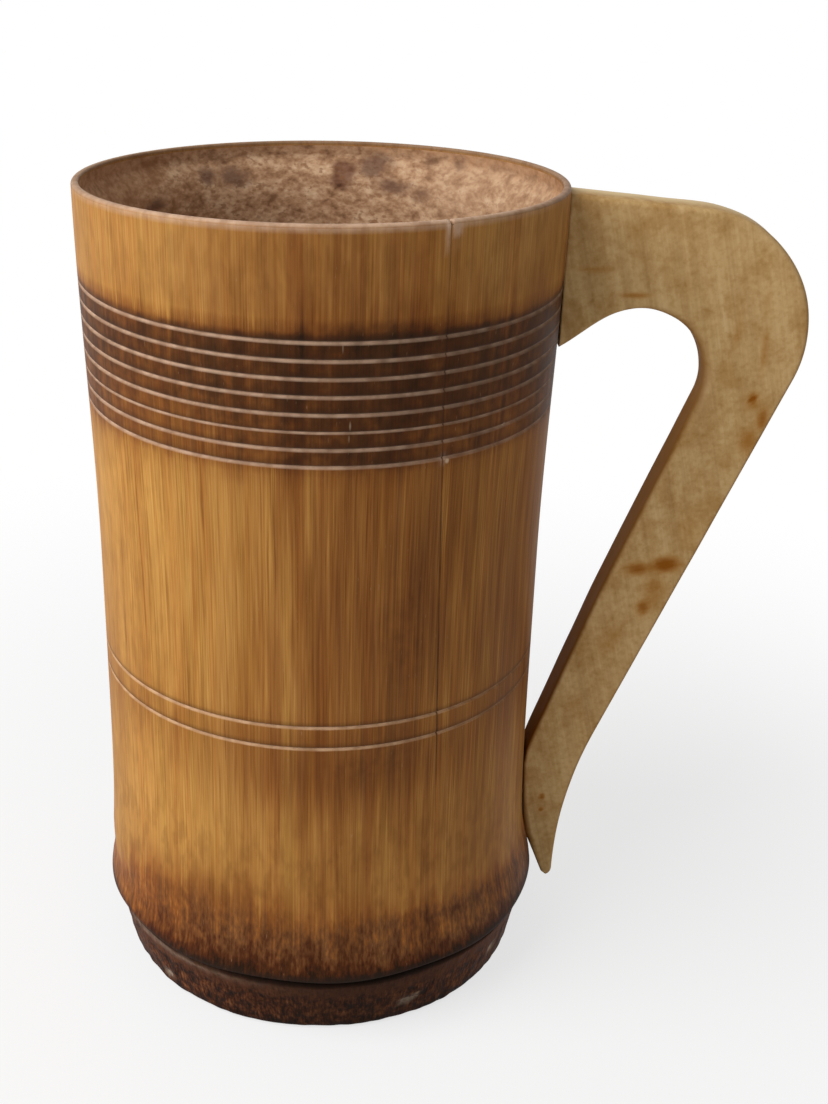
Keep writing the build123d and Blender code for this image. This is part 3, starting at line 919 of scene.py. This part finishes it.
# Stains on the board's front by place, reach and strength; painted highlights on the top edge and in a spot
# under the arch, on rubbed wood; and the dark grip, dirt with painted shade on the board's edges
board_stains = (
    (0.0656, 0.0809, 0.0026, 0.0016, 1.0),
    (0.0598, 0.0798, 0.0030, 0.0014, 0.65),
    (0.0628, 0.0803, 0.0030, 0.0012, 0.42),
    (0.0618, 0.0716, 0.0015, 0.0019, 0.66),
    (0.0634, 0.0752, 0.0024, 0.0044, 0.36),
    (0.0690, 0.0875, 0.0030, 0.0050, 0.22),
    (0.0780, 0.1142, 0.0008, 0.0009, 1.0),
    (0.0781, 0.1135, 0.0018, 0.0022, 0.32),
    (0.0802, 0.1103, 0.0012, 0.0024, 0.6),
    (0.0782, 0.1058, 0.0018, 0.0034, 0.40),
    (0.0738, 0.1275, 0.0009, 0.0040, 0.26),
    (0.0790, 0.1235, 0.0008, 0.0050, 0.34),
    (0.0785, 0.1322, 0.0008, 0.0034, 0.28),
    (0.0470, 0.1376, 0.0045, 0.0007, 0.30),
    (0.0549, 0.1331, 0.0030, 0.0006, 0.55),
    (0.0560, 0.0640, 0.0030, 0.0040, 0.20),
    (0.0451, 0.0285, 0.0007, 0.0006, 0.8),
    (0.0451, 0.0254, 0.0006, 0.0005, 0.7),
)
edge_highlight_spot = (0.0680, 0.1165, 0.0016, 0.0038)


def spot(place_x, place_z, reach_x, reach_z):
    """A soft spot on the board: 1 at its middle, falling away as a bell along and up."""
    return bell(handle_grid[..., 0] - place_x, reach_x) * bell(handle_grid[..., 2] - place_z, reach_z)


front = handle_grid[..., 1] < 0.0
stained = np.max([level * spot(*place) * front for *place, level in board_stains], axis=0)
stations = np.arange(len(handle_grid))
on_outer_edge = (section_share == 1.0) * (1.0 - section_out)
on_inner_edge = (section_share == 0.0) * (1.0 - section_in)
behind = np.clip(0.45 + 0.75 * section_lift, 0.0, 1.0)
# Painted highlights: the top edge is paler towards the back, and a pale spot lies under the arch, on
# weathered wood
top_edge_highlight = np.interp(stations, [0, 30, 62, 84], [1.0, 1.0, 0.7, 0.0])[:, None]
highlight_and_wear = np.maximum(0.5 * spot(*edge_highlight_spot) * front, top_edge_highlight * on_outer_edge * behind)
# Grip dirt with painted shade along the inner edge, painted shade on the arch's edge, at the heel where the
# tail meets the culm, and along the outer edge
grip_dirt_and_shade = np.interp(stations, [0, 40, 72, 104, 200, 240], [0.75, 0.8, 0.8, 0.9, 0.98, 0.7])[:, None]
heel_shade = np.interp(stations, [196, 208, 214, 222], [0.0, 1.0, 1.0, 0.0])[:, None]
outer_edge_shade = np.interp(stations, [66, 96, 190, 216], [0.0, 0.8, 0.9, 0.3])[:, None]
dirt_and_shade = np.maximum(on_inner_edge ** 2 * grip_dirt_and_shade, np.sqrt(on_inner_edge) * heel_shade)
dirt_and_shade = np.maximum(dirt_and_shade, on_outer_edge * outer_edge_shade)

# Board: pale yellowish wood with a faint upright grain, darker where it has been stained and handled,
# lighter with painted highlights on its top edge and under the arch, and darker with painted shade on its
# edges
wood, shader, own = new_material("pale_board")
along_grain = tilted(own, 13)
fibre, streak = grain(along_grain, width=0.00050, length=0.014)
grain_mix = sums("ADD", times(fibre, 0.35), times(streak, 0.65))
colour = shades(grain_mix, (0.32, (0.475, 0.296, 0.122)), (0.50, (0.56, 0.362, 0.158)),
                (0.68, (0.625, 0.424, 0.200)))
cloudy = cloud(along_grain, scale=190.0, detail=4.0, roughness=0.65)
colour = tint(ease(cloudy, 0.40, 0.70), colour, (0.80, 0.71, 0.58), "MULTIPLY")
mottle = cloud(own, scale=900.0, detail=3.0, roughness=0.6)
colour = tint(ease(mottle, 0.40, 0.72), colour, (0.88, 0.83, 0.74), "MULTIPLY")
spread = times(painted(wood, "stain"), sums("ADD", cloudy, 0.45))
colour = tint(times(ease(spread, 0.0, 0.5), 0.7), colour, (0.46, 0.22, 0.045))
colour = tint(ease(spread, 0.08, 0.75), colour, (0.27, 0.085, 0.006))
colour = tint(painted(wood, "highlight_and_wear"), colour, (0.74, 0.57, 0.33))
colour = tint(painted(wood, "dirt_and_shade"), colour, (0.29, 0.115, 0.014))
roughness = scaled(streak, 0.25, 0.50)
shader.inputs["Specular IOR Level"].default_value = 0.05
dressed(shader, colour, roughness, grain_mix, depth=0.00012, strength=0.45)

handle = closed_surface("hook_handle", handle_grid, neck_middle, tip_end, (wood,))
paint(handle, "stain", stained)
paint(handle, "highlight_and_wear", highlight_and_wear)
paint(handle, "dirt_and_shade", dirt_and_shade)
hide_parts("handle")
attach(handle, "root")

# Floor: a plain sheet of pale paper that the foot stands on.
# It takes the shadow near the cup and runs out to white.
floor_size = 3.0
shadow_near = 0.07
shadow_far = 0.26
white_at_foot = 0.70


def looked_at(owner):
    """1 for what the camera sees, also by reflection or through glass, and 0 for what only gives light."""
    rays = owner.node_tree.nodes.new("ShaderNodeLightPath").outputs
    mirrored = sums("MAXIMUM", rays["Is Glossy Ray"], rays["Is Transmission Ray"])
    return sums("MAXIMUM", rays["Is Camera Ray"], mirrored)


floor_mesh = bpy.data.meshes.new("floor")
floor_corners = [(-floor_size, -floor_size, 0.0), (floor_size, -floor_size, 0.0),
                 (floor_size, floor_size, 0.0), (-floor_size, floor_size, 0.0)]
floor_mesh.from_pydata(floor_corners, [], [(0, 1, 2, 3)])
floor = bpy.data.objects.new("floor", floor_mesh)
bpy.context.scene.collection.objects.link(floor)
floor_paper, shader, own = new_material("floor_paper")
shader.inputs["Base Color"].default_value = (0.86, 0.86, 0.86, 1.0)
shader.inputs["Roughness"].default_value = 0.9
shader.inputs["Specular IOR Level"].default_value = 0.0
clear_of_cup = ease(distance(own), shadow_near, shadow_far)
whiter = scaled(clear_of_cup, 1.0 - white_at_foot, white_at_foot)
faded = times(looked_at(floor_paper), whiter)
floor_tree = floor_paper.node_tree
white = floor_tree.nodes.new("ShaderNodeEmission").outputs[0]
both = add_node("ShaderNodeMixShader", {0: faded, 1: shader.outputs[0], 2: white})[0]
floor_tree.links.new(both, floor_tree.nodes["Material Output"].inputs["Surface"])
floor_mesh.materials.append(floor_paper)

# Light: one broad soft lamp to the front left, like a window, and an even white room.
# The room is white where it is seen, and lights the cup by less than that.
lamp_data = bpy.data.lights.new("window", "AREA")
lamp_data.shape = "DISK"
lamp_data.size = 0.75
lamp_data.energy = 6.9
lamp = bpy.data.objects.new("window", lamp_data)
lamp_azimuth, lamp_elevation, lamp_distance = math.radians(-152), math.radians(41), 0.85
lamp_target = np.array([0.01, 0.0, 0.09])
lamp_way = np.array([math.cos(lamp_azimuth) * math.cos(lamp_elevation),
                     math.sin(lamp_azimuth) * math.cos(lamp_elevation), math.sin(lamp_elevation)])
lamp.location = lamp_target + lamp_way * lamp_distance
lamp.rotation_mode = "QUATERNION"
lamp.rotation_quaternion = Vector(lamp_way).to_track_quat("Z", "Y")
bpy.context.scene.collection.objects.link(lamp)
room = bpy.data.worlds.new("room")
room.use_nodes = True
room_level = 0.35
background = room.node_tree.nodes["Background"].inputs
background["Color"].default_value = (1.0, 1.0, 1.0, 1.0)
room_strength = scaled(looked_at(room), 1.0 - room_level, room_level)
room.node_tree.links.new(room_strength, background["Strength"])
bpy.context.scene.world = room
bpy.context.scene.view_settings.view_transform = "Standard"

# Camera: held by hand in front of the cup and a little above its rim.
# It looks down at the cup, turned a little aside and rolled by two degrees.
camera_data = bpy.data.cameras.new("camera")
camera_data.lens = 51.23
camera = bpy.data.objects.new("camera", camera_data)
camera.location = (0.0, -0.269598, 0.208112)
turn_left, tilt_down, roll = math.radians(-3.74), math.radians(25.11), math.radians(1.93)
camera.rotation_mode = "QUATERNION"
camera.rotation_quaternion = (
    Matrix.Rotation(turn_left, 3, "Z")
    @ Matrix.Rotation(math.pi / 2 - tilt_down, 3, "X")
    @ Matrix.Rotation(roll, 3, "Z")
).to_quaternion()
bpy.context.scene.collection.objects.link(camera)
bpy.context.scene.camera = camera

bpy.context.view_layer.update()
